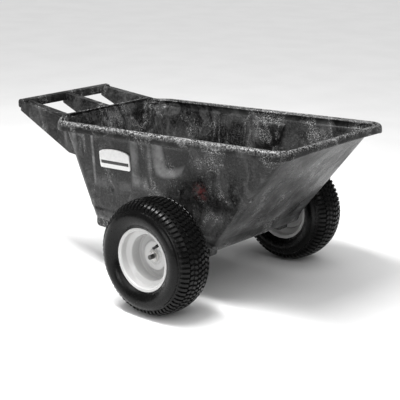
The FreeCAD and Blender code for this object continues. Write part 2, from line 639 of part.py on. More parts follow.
# ---------------------------------------------------------------- badge
def make_badge():
    """A thin blank plate with an arched top, lying on the right-hand side wall."""
    body = new_body("badge_plate")
    sketch = new_sketch(body, "XY_Plane")
    left, right, foot, head, arch = -75, 75, -35, 26, 38
    base = sketch.addGeometry(Part.LineSegment(Vector(left, foot, 0), Vector(right, foot, 0)))
    rise = sketch.addGeometry(Part.LineSegment(Vector(right, foot, 0), Vector(right, head, 0)))
    top = sketch.addGeometry(Part.Arc(Vector(right, head, 0), Vector(0, arch, 0), Vector(left, head, 0)))
    fall = sketch.addGeometry(Part.LineSegment(Vector(left, head, 0), Vector(left, foot, 0)))
    crown = sketch.addGeometry(Part.Point(Vector(0, arch, 0)))
    for first, second, end in ((base, rise, 1), (fall, base, 1)):
        sketch.addConstraint(Sketcher.Constraint("Coincident", first, 2, second, end))
    start_is_right = sketch.Geometry[top].StartPoint.x > 0
    right_end, left_end = (1, 2) if start_is_right else (2, 1)
    sketch.addConstraint(Sketcher.Constraint("Coincident", rise, 2, top, right_end))
    sketch.addConstraint(Sketcher.Constraint("Coincident", fall, 1, top, left_end))
    sketch.addConstraint(Sketcher.Constraint("PointOnObject", crown, 1, top))
    for line, point, start, across, up in (
            (base, 1, (left, foot), "-badge_half", "-badge_foot"),
            (base, 2, (right, foot), "badge_half", "-badge_foot"),
            (rise, 2, (right, head), "badge_half", "badge_head"),
            (fall, 1, (left, head), "-badge_half", "badge_head"),
            (crown, 1, (0, arch), "0", "badge_arch")):
        hold(sketch, "DistanceX", line, point, start[0], across)
        hold(sketch, "DistanceY", line, point, start[1], up)
    plate = pad(body, sketch, "badge_thick")
    fillet(body, plate, lambda a, b: abs(a.x - b.x) < 0.1 and abs(a.y - b.y) < 0.1, "badge_round")
    lean = math.degrees(math.atan(SIZES["side_slope"]))
    pitch = math.degrees(math.atan(SIZES["rim_rise"]))
    body.Placement = Placement(Vector(), Rotation(Vector(1, 0, 0), 90 + lean)
                               * Rotation(Vector(0, 0, 1), pitch))
    return place(body, "axle_ahead - badge_x", "-(band_side + side_slope * (badge_z - band_z) + 0.05)",
                 "badge_z")


# ---------------------------------------------------------------- build, check and write
nodes = [make_tub(), make_axle(), make_stand(), make_badge()]
for side, sign in SIDES.items():
    nodes += make_wheel(side, sign)
    nodes += make_axle_rings(side, sign)
    nodes += [make_cotter(side, sign), make_strap(side, sign), make_stand_plate(side, sign),
              make_foot(side, sign)]
nodes += make_fasteners("strap", "base_z + wall", "base_z - strap_thick")
nodes += make_fasteners("stand", "base_z + wall", "base_z - plate_thick")
doc.recompute()

for item in doc.Objects:
    if "Invalid" in item.State or "Error" in item.State:
        raise RuntimeError(f"{item.Label} failed: {item.State}")
for node in nodes:
    shape = node.Shape
    if shape.isNull() or not shape.isValid() or not shape.Solids:
        raise RuntimeError(f"{node.Label} has no valid solid")
    shape.exportStep(f"parts/{node.Label}.step")
    print(f"{node.Label:22s} {len(shape.Solids)} solids  {shape.Volume / 1000:9.1f} cm3")
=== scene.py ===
"""A two-wheel moulded tub cart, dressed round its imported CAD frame.

Metres in the row frame: +X towards the nose, +Y to the cart's left, +Z up. Shapes are worked out in
millimetres, with X measured from the axle, and turned into the row frame when a mesh is made.
"""
import json
import math

import bpy
import numpy as np
from mathutils import Matrix, Vector


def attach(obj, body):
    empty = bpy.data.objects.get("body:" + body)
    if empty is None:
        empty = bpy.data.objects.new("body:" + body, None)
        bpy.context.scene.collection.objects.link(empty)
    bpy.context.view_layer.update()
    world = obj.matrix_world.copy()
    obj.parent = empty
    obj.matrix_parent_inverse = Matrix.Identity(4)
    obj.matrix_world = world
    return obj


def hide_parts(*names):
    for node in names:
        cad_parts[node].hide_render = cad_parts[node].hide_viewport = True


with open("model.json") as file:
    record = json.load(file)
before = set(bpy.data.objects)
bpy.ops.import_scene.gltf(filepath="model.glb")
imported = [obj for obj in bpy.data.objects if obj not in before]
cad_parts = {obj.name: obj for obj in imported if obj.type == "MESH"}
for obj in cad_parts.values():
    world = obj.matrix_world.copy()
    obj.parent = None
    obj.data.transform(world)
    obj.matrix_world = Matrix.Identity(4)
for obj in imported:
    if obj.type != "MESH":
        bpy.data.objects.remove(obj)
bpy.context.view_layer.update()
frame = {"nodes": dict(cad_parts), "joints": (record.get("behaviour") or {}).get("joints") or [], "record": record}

# ---------------------------------------------------------------- driving dimensions
AXLE_X, WHEEL_Y, WHEEL_Z = (abs(v) for v in frame["joints"][0]["pos_m"])
MM = 0.001
SIDES = {"left": 1, "right": -1}

# tub walls
BASE_Z, BAND_Z, LOFT_TOP = 215, 257, 640
BASE_FRONT, BAND_FRONT, NOSE_SLOPE = 151, 167, 0.775
BASE_REAR, BAND_REAR, REAR_SLOPE = -462, -478, 0.405
BASE_SIDE, BAND_SIDE, SIDE_SLOPE = 246, 250, 0.09
BASE_CORNER, TOP_CORNER, REAR_ROUNDER, WALL = 30, 50, 20, 5
FLOOR_Z, FLOOR_FILLET, EDGE_ROUND, BAND_STEP = BASE_Z + WALL, 26, 8, 1.2
OUTER_ROWS, INNER_ROWS, ROUND_ROWS = 62, 52, 8
# rolled rim
RIM_REAR, RIM_REAR_Z, RIM_RISE = -598, 566, 0.0491
RIM_FRONT, RIM_BACK, RIM_SIDE, RIM_CORNER, RIM_WIDTH = 466, -614, 309, 62, 33.8
SILL_Z, SILL_FROM, SILL_TO = 579, -560, -590
# handle
BAR_REAR, BAR_FRONT, BAR_TOP, BAR_UNDER, BAR_HALF = -868, -835, 605, 571, 235
ARM_INSIDE, ARM_OUTSIDE, ARM_IN_SPREAD, ARM_OUT_SPREAD = 199, 235, 0.028, 0.083
RIB_HALF, KNEE_X, KNEE_Z, SKIN = 15, -550, 444, 5
# rails
RAIL_IN, RAIL_OUT, RAIL_LOW, RAIL_BACK, RAIL_NOSE = 185, 225, 176, -452, 106
RAIL_BEND, RAIL_EASE, RAIL_SUNK = 14, 2.2, 3


# ---------------------------------------------------------------- small helpers
def soft(low, high, value):
    """A smooth step from 0 at low to 1 at high, for numbers or arrays."""
    t = np.clip((value - low) / (high - low), 0, 1)
    return t * t * (3 - 2 * t)


def to_frame(points):
    """Millimetres with X from the axle, to metres in the row frame."""
    return np.asarray(points, float) * MM + np.array([AXLE_X, 0, 0])


def quarter(centre, radius, start, steps):
    """Points round a quarter circle, from a start angle in degrees."""
    angles = [math.radians(start + 90 * i / steps) for i in range(steps + 1)]
    return [(centre[0] + radius * math.cos(a), centre[1] + radius * math.sin(a)) for a in angles]


def make_piece(name, points, faces, body, slot, material, replaces=(), sharp=40, **shades):
    """One visible mesh piece, in place, riding on its body; shades are values at its points."""
    mesh = bpy.data.meshes.new(name)
    mesh.from_pydata([tuple(p) for p in points], [], [tuple(f) for f in faces])
    mesh.validate()
    for polygon in mesh.polygons:
        polygon.use_smooth = True
    mesh.set_sharp_from_angle(angle=math.radians(sharp))
    for attribute, values in shades.items():
        mesh.attributes.new(attribute, "FLOAT", "POINT").data.foreach_set("value", values)
    piece = bpy.data.objects.new(name, mesh)
    bpy.context.scene.collection.objects.link(piece)
    mesh.materials.append(material)
    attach(piece, body)
    if replaces:
        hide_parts(*replaces)
    return piece


def skin(rows, closed=True, caps=(False, False), flip=False):
    """Points and quads through rows of equal length; each row is a ring when closed."""
    rows = [np.asarray(row, float) for row in rows]
    count = len(rows[0])
    points = np.concatenate(rows)
    span = count if closed else count - 1
    faces = []
    for level in range(len(rows) - 1):
        low, high = level * count, (level + 1) * count
        for i in range(span):
            j = (i + 1) % count
            faces.append((low + i, low + j, high + j, high + i))
    if caps[0]:
        faces.append(tuple(reversed(range(count))))
    if caps[1]:
        faces.append(tuple(range(len(points) - count, len(points))))
    if flip:
        faces = [tuple(reversed(face)) for face in faces]
    return points, faces


def merge(parts):
    """Several (points, faces) pairs as one."""
    points, faces, start = [], [], 0
    for part_points, part_faces in parts:
        points.append(np.asarray(part_points, float))
        faces += [tuple(i + start for i in face) for face in part_faces]
        start += len(part_points)
    return np.concatenate(points), faces


def mirrored(part):
    """A (points, faces) pair mirrored across the cart's middle plane."""
    points, faces = part
    return np.asarray(points) * np.array([1, -1, 1]), [tuple(reversed(face)) for face in faces]


# ---------------------------------------------------------------- materials
SMEAR_AT, SMEAR_REACH = (92, -264, 418), 0.045


class Shader:
    """A small builder of one procedural material."""

    def __init__(self, name):
        self.material = bpy.data.materials.new(name)
        self.material.use_nodes = True
        self.tree = self.material.node_tree
        self.tree.nodes.clear()
        self.place = self.tree.nodes.new("ShaderNodeTexCoord").outputs["Object"]

    def make(self, kind, inputs, **settings):
        """A node whose inputs are sockets to link or values to set."""
        item = self.tree.nodes.new("ShaderNode" + kind)
        for key, value in settings.items():
            setattr(item, key, value)
        for key, value in inputs.items():
            if isinstance(value, bpy.types.NodeSocket):
                self.tree.links.new(value, item.inputs[key])
            else:
                item.inputs[key].default_value = value
        return item

    def stretched(self, scale, vector=None):
        """The object's own coordinates, or a vector, scaled along each axis."""
        return self.make("Mapping", {"Vector": vector or self.place, "Scale": scale}).outputs[0]

    def noise(self, scale, detail=3, rough=0.5, distortion=0.0, vector=None):
        return self.make("TexNoise", {"Vector": vector or self.place, "Scale": scale, "Detail": detail,
                                      "Roughness": rough, "Distortion": distortion}).outputs[0]

    def ranged(self, value, low, high, start=0.0, end=1.0):
        """A smooth step of a value from low..high to start..end."""
        inputs = {"Value": value, "From Min": low, "From Max": high, "To Min": start, "To Max": end}
        return self.make("MapRange", inputs, interpolation_type="SMOOTHSTEP").outputs[0]

    def math(self, operation, first, second):
        return self.make("Math", {0: first, 1: second}, operation=operation).outputs[0]

    def mix(self, factor, first, second):
        return self.make("Mix", {0: factor, 6: first, 7: second}, data_type="RGBA").outputs[2]

    def bump(self, height, distance, strength=1.0, normal=None):
        inputs = {"Height": height, "Distance": distance, "Strength": strength}
        if normal is not None:
            inputs["Normal"] = normal
        return self.make("Bump", inputs).outputs[0]

    def finish(self, colour, rough, normal=None, **constants):
        """Close the material; constants are set on the surface's own sockets."""
        inputs = {"Base Color": colour, "Roughness": rough}
        inputs.update({key.replace("_", " "): value for key, value in constants.items()})
        if normal is not None:
            inputs["Normal"] = normal
        surface = self.make("BsdfPrincipled", inputs).outputs[0]
        self.make("OutputMaterial", {"Surface": surface})
        return self.material


def grey(level, warmth=0.0):
    """A near-neutral colour; positive warmth is a little yellower."""
    return (level * (1 + warmth), level, level * (1 - 2 * warmth), 1)


def plastic_marks(s):
    """How strongly each kind of mark shows: flow, veins, salt-like scuffs, scratches, worn edges."""
    warp = s.make("TexNoise", {"Vector": s.place, "Scale": 3.1, "Detail": 3.0}).outputs[1]
    shifted = s.make("VectorMath", {0: warp, 1: (0.55, 0.55, 0.55)}, operation="MULTIPLY").outputs[0]
    moved = s.make("VectorMath", {0: s.place, 1: shifted}, operation="ADD").outputs[0]
    flow = s.ranged(s.noise(5.5, 6, 0.62, vector=s.stretched((1, 1, 0.42), moved)), 0.49, 0.67)
    veins = s.ranged(s.noise(11, 7, 0.66, 0.3, s.stretched((1, 1, 0.5), moved)), 0.52, 0.66)
    patches = s.ranged(s.noise(9, 6, 0.72, 0.6, s.stretched((1, 1, 0.6))), 0.50, 0.64)
    speckle = s.ranged(s.noise(260, 4, 0.75), 0.50, 0.62)
    salt = s.math("MULTIPLY", patches, speckle)
    scratch = s.ranged(s.noise(40, 4, 0.6, 0.4, s.stretched((0.5, 0.5, 6))), 0.60, 0.68)
    wear = s.make("Attribute", {}, attribute_name="wear").outputs["Fac"]
    rubbed = s.math("MULTIPLY", wear, s.ranged(s.noise(150, 6, 0.85), 0.47, 0.61))
    return flow, veins, salt, scratch, rubbed


def smear(s, centre, reach):
    """How strongly a ragged patch shows round one point."""
    away = s.make("VectorMath", {0: s.place, 1: centre}, operation="DISTANCE").outputs["Value"]
    ragged = s.ranged(s.noise(60, 4, 0.7), 0.42, 0.6)
    return s.math("MULTIPLY", s.ranged(away, 0.0, reach, 1.0, 0.0), ragged)


def moulded_plastic():
    """Black moulded polyethylene: lighter flow marks, salt-like scuffing, worn edges, one red smear, and a painted
    highlight on forward-facing wall slopes.
    """
    s = Shader("moulded_plastic")
    flow, veins, salt, scratch, rubbed = plastic_marks(s)
    # painted highlight: the tone attribute colours forward-facing side-wall slopes lighter, as if lit, mottled by
    # noise
    tone = s.make("Attribute", {}, attribute_name="tone").outputs["Fac"]
    mottled_slope_light = s.math("MULTIPLY", tone, s.ranged(s.noise(17, 5, 0.7), 0.3, 0.6, 0.35, 1.0))
    colour = s.mix(s.math("MULTIPLY", flow, 0.85), grey(0.003), grey(0.036))
    colour = s.mix(s.math("MULTIPLY", veins, 0.42), colour, grey(0.075))
    colour = s.mix(mottled_slope_light, colour, grey(0.19))
    colour = s.mix(s.math("MULTIPLY", salt, 0.55), colour, grey(0.55))
    colour = s.mix(s.math("MULTIPLY", scratch, 0.12), colour, grey(0.16))
    colour = s.mix(s.math("MULTIPLY", rubbed, 0.65), colour, grey(0.55))
    red = s.math("MULTIPLY", smear(s, tuple(to_frame(SMEAR_AT)), SMEAR_REACH), 0.5)
    colour = s.mix(red, colour, (0.13, 0.025, 0.025, 1))
    cloudy = s.ranged(s.noise(9, 5, 0.65, 0.5), 0.35, 0.68, 0.2, 0.4)
    rough = s.math("ADD", cloudy, s.math("MULTIPLY", salt, 0.2))
    normal = s.bump(s.noise(900, 2, 0.5), 0.0002, 0.35)
    normal = s.bump(s.noise(24, 3, 0.5), 0.003, 0.5, normal)
    normal = s.bump(rubbed, 0.0006, 0.6, normal)
    return s.finish(colour, rough, normal, Specular_IOR_Level=0.22)


def painted(name, level, rough, wear_level):
    """Gloss paint over steel, with a little orange peel and grime."""
    s = Shader(name)
    grime = s.ranged(s.noise(34, 6, 0.7, 0.5), 0.54, 0.76)
    fine = s.ranged(s.noise(420, 3, 0.6), 0.55, 0.7)
    colour = s.mix(s.math("MULTIPLY", grime, 0.12), grey(level, 0.004), grey(wear_level, 0.01))
    colour = s.mix(s.math("MULTIPLY", fine, 0.06), colour, grey(wear_level))
    roughness = s.ranged(s.noise(60, 4, 0.6), 0.3, 0.7, rough, rough + 0.12)
    normal = s.bump(s.noise(240, 2, 0.5), 0.0003, 0.25)
    return s.finish(colour, roughness, normal)


def rubber(name, level, rough):
    """Black rubber with dust, faint moulding swirls, a matt grain and painted shade from a point attribute."""
    s = Shader(name)
    dust = s.ranged(s.noise(24, 6, 0.7, 0.4), 0.48, 0.74)
    grain = s.noise(700, 3, 0.6)
    colour = s.mix(s.math("MULTIPLY", dust, 0.4), grey(level), grey(level * 2.6, 0.02))
    colour = s.mix(s.math("MULTIPLY", s.ranged(grain, 0.55, 0.7), 0.25), colour, grey(level * 3.5))
    sunk = s.make("Attribute", {}, attribute_name="sunk").outputs["Fac"]
    # painted shade: near-black colour in the tread's grooves and at the block feet
    colour = s.mix(sunk, colour, grey(0.0006))
    roughness = s.ranged(s.noise(40, 4, 0.6), 0.3, 0.7, rough - 0.06, rough + 0.1)
    normal = s.bump(grain, 0.0004, 0.4)
    normal = s.bump(s.noise(55, 2, 0.5), 0.001, 0.12, normal)
    gloss = s.math("ADD", roughness, s.math("MULTIPLY", sunk, 0.5))
    return s.finish(colour, gloss, normal, Specular_IOR_Level=0.16)


def metal(name, level, warmth, rough, tarnish):
    """Plated or rolled steel: streaked roughness and duller spots."""
    s = Shader(name)
    spots = s.ranged(s.noise(130, 6, 0.7, 0.5), 0.5, 0.68)
    colour = s.mix(s.math("MULTIPLY", spots, tarnish), grey(level, warmth), grey(level * 0.35, 0.05))
    streaks = s.noise(260, 4, 0.6, 0.0, s.stretched((1, 0.12, 1)))
    roughness = s.ranged(streaks, 0.3, 0.7, rough, rough + 0.2)
    normal = s.bump(streaks, 0.0002, 0.3)
    return s.finish(colour, roughness, normal, Metallic=1.0)


def plain_plastic(name, level, warmth, rough):
    """Small moulded parts: slight mottling and a fine grain."""
    s = Shader(name)
    mottle = s.ranged(s.noise(90, 5, 0.6), 0.4, 0.7)
    colour = s.mix(s.math("MULTIPLY", mottle, 0.3), grey(level, warmth), grey(level * 0.7, warmth))
    roughness = s.ranged(s.noise(200, 3, 0.5), 0.3, 0.7, rough, rough + 0.12)
    return s.finish(colour, roughness, s.bump(s.noise(600, 2, 0.5), 0.0002, 0.4))


MATERIALS = {
    "moulded_plastic": moulded_plastic(),
    "white_steel": painted("white_enamel", 0.44, 0.16, 0.33),
    "black_steel": painted("black_powder_coat", 0.02, 0.38, 0.05),
    "tyre_rubber": rubber("tyre_rubber", 0.002, 0.24),
    "valve_rubber": rubber("valve_rubber", 0.007, 0.5),
    "zinc_steel": metal("zinc_plate", 0.42, 0.01, 0.3, 0.5),
    "axle_steel": metal("rolled_steel", 0.1, 0.01, 0.42, 0.7),
    "brass": metal("plain_brass", 0.5, 0.25, 0.3, 0.4),
    "bushing_plastic": plain_plastic("natural_nylon", 0.7, 0.03, 0.4),
    "black_plastic": plain_plastic("black_plastic", 0.02, 0.0, 0.38),
    "badge_white": plain_plastic("badge_white", 0.64, 0.003, 0.28),
}
BADGE_DARK = plain_plastic("badge_dark", 0.012, 0.0, 0.3)

for part in frame["record"]["subparts"]:
    cad_mesh = frame["nodes"][part["node"]].data
    cad_mesh.materials.clear()
    cad_mesh.materials.append(MATERIALS[part["material_slot"]])


# ---------------------------------------------------------------- tub: plan and walls
def plan_stations(corner_steps=20, side_steps=170, end_steps=84):
    """Rows (F, R, C, S, K, nx, ny): x = F front + R rear + C corner, y = S side + K corner."""
    rows, corners = [], []
    for number, (fx, fy) in enumerate(((1, 1), (-1, 1), (-1, -1), (1, -1))):
        arc = []
        for i in range(corner_steps + 1):
            angle = math.pi / 2 * (number + i / corner_steps)
            c, s = math.cos(angle), math.sin(angle)
            arc.append(np.array([fx > 0, fx < 0, c - fx, fy, s - fy, c, s], float))
        corners.append(arc)
    for number, arc in enumerate(corners):
        rows += arc[:-1]
        start, end = arc[-1], corners[(number + 1) % 4][0]
        steps = side_steps if number % 2 == 0 else end_steps
        rows += [start + (end - start) * i / steps for i in range(steps)]
    return np.array(rows)


PLAN = plan_stations()
NORMALS = PLAN[:, 5:7]


def plan_points(front, rear, side, corner):
    """x and y of every station on a rounded rectangle; its rear corners are rounder."""
    corner = np.maximum(corner + REAR_ROUNDER * PLAN[:, 1], 2)
    x = PLAN[:, 0] * front + PLAN[:, 1] * rear + PLAN[:, 2] * corner
    y = PLAN[:, 3] * side + PLAN[:, 4] * corner
    return x, y


def wall_plan(z, inset=0.0):
    """x and y of every station on the walls at height z, moved inwards by inset."""
    above = np.maximum(z - BAND_Z, 0)
    below = np.clip((BAND_Z - z) / (BAND_Z - BASE_Z), 0, 1)
    front = BAND_FRONT + NOSE_SLOPE * above - (BAND_FRONT - BASE_FRONT) * below
    rear = BAND_REAR - REAR_SLOPE * above - (BAND_REAR - BASE_REAR) * below
    side = BAND_SIDE + SIDE_SLOPE * above - (BAND_SIDE - BASE_SIDE) * below
    corner = BASE_CORNER + (TOP_CORNER - BASE_CORNER) * above / (LOFT_TOP - BAND_Z)
    return plan_points(front - inset, rear + inset, side - inset, corner - inset)


def top_height(x, y):
    """Height of the rim's plane, with the higher sill between the arms at the rear."""
    plane = RIM_REAR_Z + RIM_RISE * (x - RIM_REAR)
    return plane + (SILL_Z - plane) * soft(-SILL_FROM, -SILL_TO, -x) * soft(0, 60, 262 - np.abs(y))


def scoop(x, z, left, right, foot, depth, left_slope, right_slope, foot_slope):
    """A hollow pressed into a side wall, open at its top: a crisp edge and a long lit slope."""
    across = soft(0, left_slope, x - left) * soft(0, right_slope, right - x)
    return -depth * across * soft(0, foot_slope, z - foot)


# the line over the wheel below which the side wall steps in, as (x, z)
WHEEL_ARCH = [(-470, 282), (-405, 300), (-329, 336), (-122, 385), (86, 389), (300, 394)]
PANEL_DEPTH, SLOT_DEPTH = 3.5, 4.5


def side_relief(x, z):
    """How far a side wall stands out from its plane at (x, z)."""
    relief = scoop(x, z, left=-112 - 0.155 * (z - 437), right=22 + 0.42 * (z - 475),
                   foot=435 + 0.0023 * np.maximum(x + 90, 0) ** 2, depth=14,
                   left_slope=50, right_slope=9, foot_slope=40)
    relief = relief + scoop(x, z, left=-236, right=-124, foot=366, depth=8,
                            left_slope=44, right_slope=34, foot_slope=60)
    relief = relief + scoop(x, z, left=-530, right=-452, foot=440, depth=6,
                            left_slope=26, right_slope=30, foot_slope=70)
    panel = soft(-424, -414, x) * soft(0, 10, -226 - x) * soft(340, 395, z)
    relief = relief - PANEL_DEPTH * panel
    arch = np.interp(x, *zip(*WHEEL_ARCH))
    return relief - PANEL_DEPTH * soft(0, 13, arch - z)


def slot_relief(x, z):
    """The small slanting slot behind and below the badge."""
    along, across = (x + 342) * 0.8 - (z - 357) * 0.6, (x + 342) * 0.6 + (z - 357) * 0.8
    away = np.hypot(np.maximum(np.abs(along) - 12, 0), across) / 9
    return -SLOT_DEPTH * soft(-1.15, -0.85, -away)


def end_relief(y, z):
    """How far the rear wall stands out: two panels, either side of the middle."""
    y = np.abs(y)
    reach = np.minimum(np.minimum(y - 58, 236 - y), 537 - z)
    return 6 * soft(0, 13, reach) * soft(300, 360, z)


def relief_at(x, y, z, slots=True):
    """Relief on whichever wall a station belongs to, fading round the corners."""
    on_side = soft(0.80, 0.97, np.abs(NORMALS[:, 1]))
    on_rear = soft(0.80, 0.97, -NORMALS[:, 0])
    pressed = side_relief(x, z) + (slot_relief(x, z) if slots else 0)
    return on_side * pressed + on_rear * end_relief(y, z)


# the rolled rim's section: distance out from the inner face, and height above the rim's plane
RIM_SECTION = [
    (0.0, -24), (1.4, -21), (1.6, -9), (0.3, -6), (-0.9, -4), (-0.8, -1.6), (0.6, 0.2), (2.8, 0.9),
    (4.8, 0.3), (6.0, -1.6), (6.8, -4.2), (8.2, -5.4), (9.8, -4.8), (11.0, -2.4), (12.6, 0.4),
    (15.0, 2.6), (18.4, 3.9), (22.0, 3.6), (25.6, 1.9), (28.8, -1.2), (31.3, -5.4), (32.8, -10.5),
    (33.5, -16), (33.8, -22), (33.8, -27), (33.0, -29.4), (31.4, -30.0), (30.0, -29.2), (29.4, -26),
    (29.0, -18), (26.8, -10.5), (22.5, -5.4), (16.5, -3.6), (10.5, -5.2), (7.0, -10), (5.3, -16),
]
RIM_WEAR = {0.6: 0.7, 2.8: 0.9, 4.8: 0.6, 15.0: 0.6, 18.4: 0.95, 22.0: 1.0, 25.6: 0.95, 28.8: 0.75,
            31.3: 0.45, 32.8: 0.25}


class TubSkin:
    """The rings of the tub's skin in order, with the wear and the painted highlight at each point."""

    def __init__(self):
        # tone collects painted highlight: how much lighter each point is coloured, as if lit
        self.rings, self.wear, self.tone = [], [], []
        self.top = np.full(len(PLAN), 600.0)
        for _ in range(6):
            self.inner = wall_plan(self.top, WALL)
            self.top = top_height(*self.inner)
        self.outer = plan_points(RIM_FRONT, RIM_BACK, RIM_SIDE, RIM_CORNER)
        width = np.hypot(self.outer[0] - self.inner[0], self.outer[1] - self.inner[1])
        self.squash = np.clip(width / RIM_WIDTH, 0.3, 1)

    def add(self, x, y, z, worn=0.0, painted_slope_light=0.0):
        """One ring."""
        self.rings.append(np.stack([x, y, z + np.zeros(len(PLAN))], 1))
        self.wear.append(np.full(len(PLAN), worn))
        self.tone.append(painted_slope_light + np.zeros(len(PLAN)))

    def add_plain(self, height, inset, worn=0.0):
        """A ring without relief."""
        self.add(*wall_plan(np.full(len(PLAN), float(height)), inset), height, worn)

    def add_wall(self, height, inset):
        """A ring with its relief, which fades near the rim; slopes that face forwards get a painted highlight."""
        x, y = wall_plan(height, inset)
        push = relief_at(x, y, height) * (1 - soft(self.top - 50, self.top - 28, height))
        if inset:
            push = push + np.clip(-push, 0, WALL - 1.5)
        # painted highlight: where the relief rises going forwards and up, the outer wall is coloured lighter
        facing = relief_at(x, y, height, False) - relief_at(x + 4, y, height + 4, False)
        painted_slope_light = 0 if inset else np.clip(facing / 1.6, 0, 1) * np.abs(NORMALS[:, 1])
        self.add(x + NORMALS[:, 0] * push, y + NORMALS[:, 1] * push, height, 0.08, painted_slope_light)

    def underside(self):
        """The bottom, its rounded edge and the base band."""
        for inset in (150, 60, EDGE_ROUND):
            self.add_plain(BASE_Z, inset)
        for step in range(1, 6):
            angle = math.pi / 2 * step / 5
            height = BASE_Z + EDGE_ROUND * (1 - math.cos(angle))
            self.add_plain(height, BAND_STEP + (EDGE_ROUND - BAND_STEP) * (1 - math.sin(angle)), 0.35)
        for height in (232, 244, BAND_Z - 2.5):
            self.add_plain(height, BAND_STEP)

    def outer_wall(self):
        """Up from the base band to the rim."""
        foot, head = BAND_Z + 1, self.top - 18 * self.squash
        for step in range(OUTER_ROWS + 1):
            self.add_wall(foot + (head - foot) * (step / OUTER_ROWS), 0)

    def rolled_rim(self):
        """From the wall outwards, over the rim and back to the inner face."""
        for out, height in reversed(RIM_SECTION):
            t = out / RIM_WIDTH
            x, y = (near + (far - near) * t for near, far in zip(self.inner, self.outer))
            z = self.top + RIM_RISE * (x - self.inner[0]) + height * self.squash
            self.add(x, y, z, RIM_WEAR.get(out, 0.0))

    def inner_wall(self):
        """Down from the rim to the floor's fillet."""
        foot, head = FLOOR_Z + FLOOR_FILLET, self.top - 27 * self.squash
        for step in range(INNER_ROWS + 1):
            self.add_wall(head - (head - foot) * (step / INNER_ROWS), WALL)

    def floor(self):
        """The fillet and the floor's upper face."""
        for step in range(1, ROUND_ROWS + 1):
            angle = math.pi / 2 * step / ROUND_ROWS
            height = FLOOR_Z + FLOOR_FILLET * (1 - math.sin(angle))
            self.add_plain(height, WALL + FLOOR_FILLET * (1 - math.cos(angle)))
        for inset in (70, 150):
            self.add_plain(FLOOR_Z, inset)


# ---------------------------------------------------------------- tub: handle and rails
def rear_face(y, z):
    """x of the tub's outer rear surface at (y, z), round its corners too."""
    above = max(z - BAND_Z, 0)
    rear = BAND_REAR - REAR_SLOPE * above
    side = BAND_SIDE + SIDE_SLOPE * above
    corner = BASE_CORNER + REAR_ROUNDER + (TOP_CORNER - BASE_CORNER) * above / (LOFT_TOP - BAND_Z)
    past = min(max(abs(y) - (side - corner), 0), corner)
    return rear + corner - math.sqrt(corner ** 2 - past ** 2)


def web_heights(x):
    """Top and lowest edge of a web at x."""
    top = BAR_TOP - 1 + (x - BAR_REAR) * (SILL_Z - BAR_TOP) / (-600 - BAR_REAR)
    low = BAR_UNDER - 4 + (x - BAR_REAR) * (KNEE_Z - BAR_UNDER + 4) / (KNEE_X - BAR_REAR)
    return top, low


def web(edges, section):
    """A hollow web from the bar to the tub: edges(x) gives its y pair, section its outline.

    The outline is (y, drop below the top edge) pairs; a negative drop means the lowest edge.
    """
    rows, steps = [], 48
    start = BAR_REAR + 16
    for step in range(steps + 1):
        row = []
        x = start + (KNEE_X - start) * step / steps
        top, low = web_heights(x)
        for y, drop in section(x, *edges(x)):
            z = top - drop if drop >= 0 else low
            wall_x = rear_face(y, z) + 2.5
            row.append((wall_x if step == steps else min(x, wall_x), y, z))
        rows.append(row)
    return skin(rows, caps=(True, True))


def arm_section(x, inside, outside):
    """The arm's outline: a flat inner band, a groove, then a lower outer ridge."""
    spread = soft(BAR_REAR, -600, x)
    band = inside + 9 + 27 * spread
    ridge = outside - 2.5
    groove = (band + ridge) / 2 - 1
    return [
        (inside, -1), (inside, 4), (inside + 0.7, 1.6), (inside + 2.6, 0.3), (inside + 5, 0),
        (band - 3, 0.3), (band - 0.8, 1.4), (band + 0.6, 4.5), (groove - 1, 8.2), (groove + 1, 8.4),
        (ridge - 4.2, 6.4), (ridge - 2.6, 5.2), (ridge - 0.6, 5.0), (outside - 0.8, 6.4),
        (outside, 10), (outside, -1), (outside - SKIN, -1), (outside - SKIN, 18),
        (inside + SKIN, 14), (inside + SKIN, -1),
    ]


def rib_section(x, inside, outside):
    """The centre rib's outline, slightly dished along its top."""
    return [
        (inside, -1), (inside, 4), (inside + 0.9, 1.3), (inside + 3, 0.2), (inside + 7, 0.6),
        (inside + 10, 2.4), (outside - 10, 2.4), (outside - 7, 0.6), (outside - 3, 0.2),
        (outside - 0.9, 1.3), (outside, 4), (outside, -1), (outside - SKIN, -1),
        (outside - SKIN, 12), (inside + SKIN, 12), (inside + SKIN, -1),
    ]


def arm_edges(x):
    """The left arm's y pair at x: it spreads towards the tub."""
    return (ARM_INSIDE + ARM_IN_SPREAD * (x - BAR_REAR), ARM_OUTSIDE + ARM_OUT_SPREAD * (x - BAR_REAR))


def cross_bar():
    """The bar between the arms: a rounded inverted channel with rounded ends."""
    outline = [
        (BAR_FRONT, BAR_UNDER + 1.5), (BAR_FRONT + 0.6, BAR_UNDER + 6), (BAR_FRONT + 0.6, BAR_TOP - 8),
        (BAR_FRONT - 1.2, BAR_TOP - 3.6), (BAR_FRONT - 5, BAR_TOP - 2), (BAR_REAR + 12, BAR_TOP),
        (BAR_REAR + 5.5, BAR_TOP - 1.6), (BAR_REAR + 1.8, BAR_TOP - 5.2), (BAR_REAR, BAR_TOP - 11),
        (BAR_REAR, BAR_UNDER + 9), (BAR_REAR + 1.8, BAR_UNDER + 3.6), (BAR_REAR + 6, BAR_UNDER),
        (BAR_REAR + 10, BAR_UNDER + 0.4), (BAR_REAR + 11, BAR_UNDER + 8),
        (BAR_FRONT - 8, BAR_UNDER + 8), (BAR_FRONT - 5.5, BAR_UNDER + 1.5),
    ]
    middle_x, middle_z = np.mean(outline, 0)
    rounded_end = [(0.0, 0.90), (0.9, 0.95), (2.6, 0.985), (6.0, 1.0)]
    places = [(-BAR_HALF + out, size) for out, size in rounded_end]
    places += [(-BAR_HALF + 2 * BAR_HALF * i / 16, 1.0) for i in range(1, 16)]
    places += [(BAR_HALF - out, size) for out, size in reversed(rounded_end)]
    rows = []
    for y, size in places:
        rows.append([(middle_x + (x - middle_x) * size, y, middle_z + (z - middle_z) * size)
                     for x, z in outline])
    return skin(rows, caps=(True, True))


